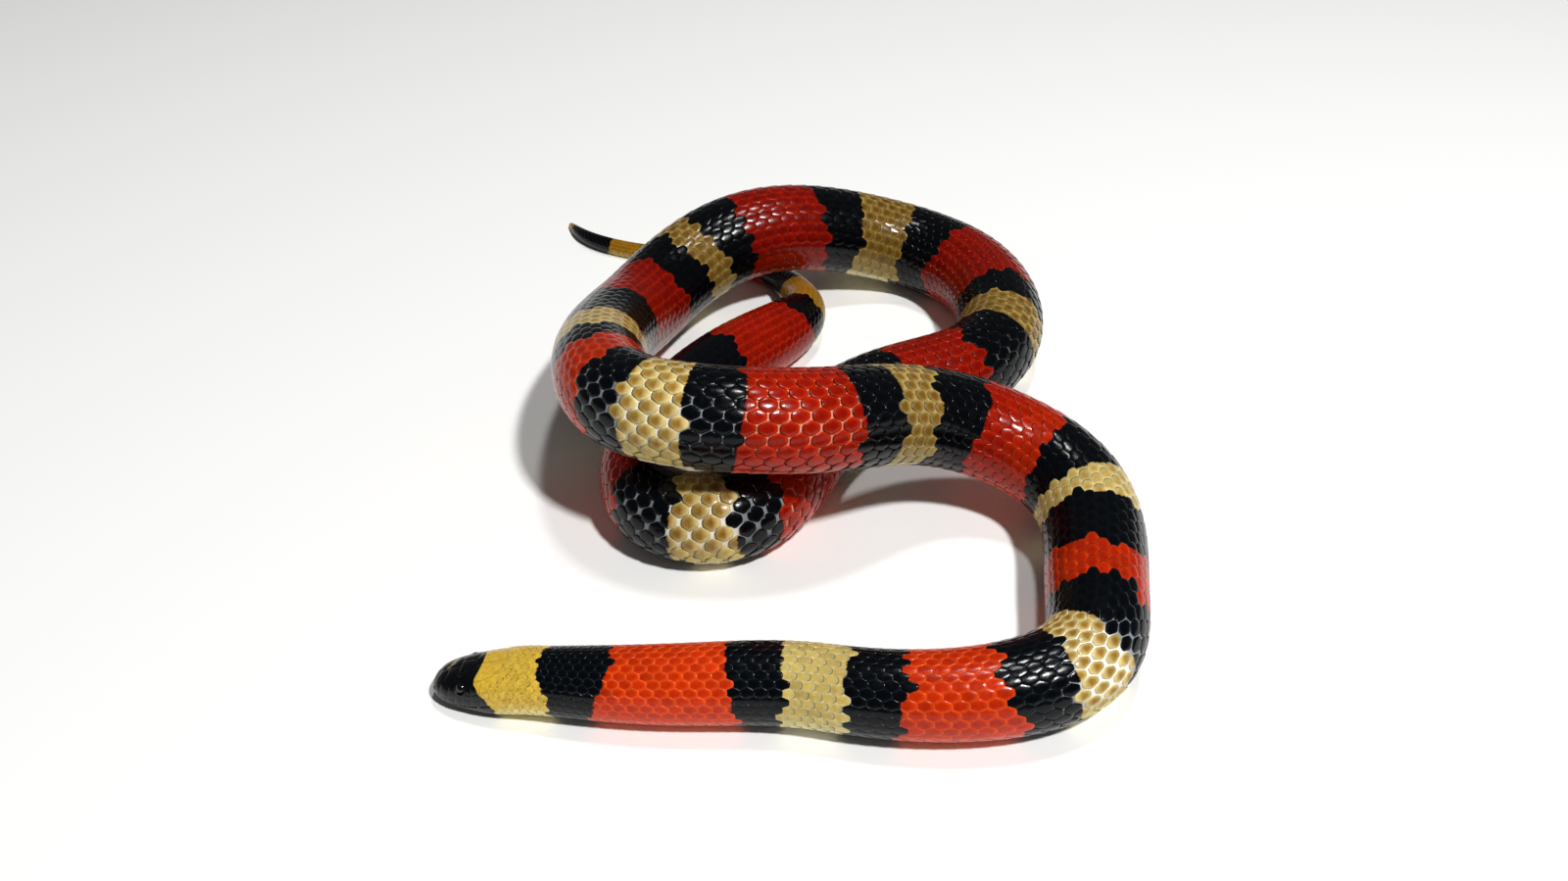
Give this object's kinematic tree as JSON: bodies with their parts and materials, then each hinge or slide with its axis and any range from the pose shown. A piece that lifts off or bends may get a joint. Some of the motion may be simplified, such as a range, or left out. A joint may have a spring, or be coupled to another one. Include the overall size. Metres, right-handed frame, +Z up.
{
  "type": "coiled milk snake",
  "caption": "Life-size still model of a ringed milk snake lying in an open coil, the body climbing over itself, with red, black and cream bands and a black head.",
  "frame": {"origin": "on the floor, under the middle of the coil's bounding box", "axes": "+Z up; +Y from the head's side of the coil towards the tail's side; the snout points along -X"},
  "size_m": [0.1404, 0.2076, 0.0445],
  "materials": {
    "head_shields": "satin gloss, blue-black horny shields",
    "eye": "wet gloss, dark brown iris and black pupil",
    "scales": "smooth glossy scales in rings of red, black and cream"
  },
  "bodies": {
    "root": {"head": "head_shields", "lower_jaw": "head_shields", "eye_left": "eye", "eye_right": "eye", "neck": "scales", "trunk_01": "scales", "trunk_02": "scales", "trunk_03": "scales", "trunk_04": "scales", "trunk_05": "scales", "trunk_06": "scales", "trunk_07": "scales", "trunk_08": "scales", "trunk_09": "scales", "trunk_10": "scales", "trunk_11": "scales", "trunk_12": "scales", "trunk_13": "scales", "trunk_14": "scales", "trunk_15": "scales", "trunk_16": "scales", "trunk_17": "scales", "tail_base": "scales", "tail_middle": "scales", "tail_tip": "scales"}
  },
  "joints": []
}
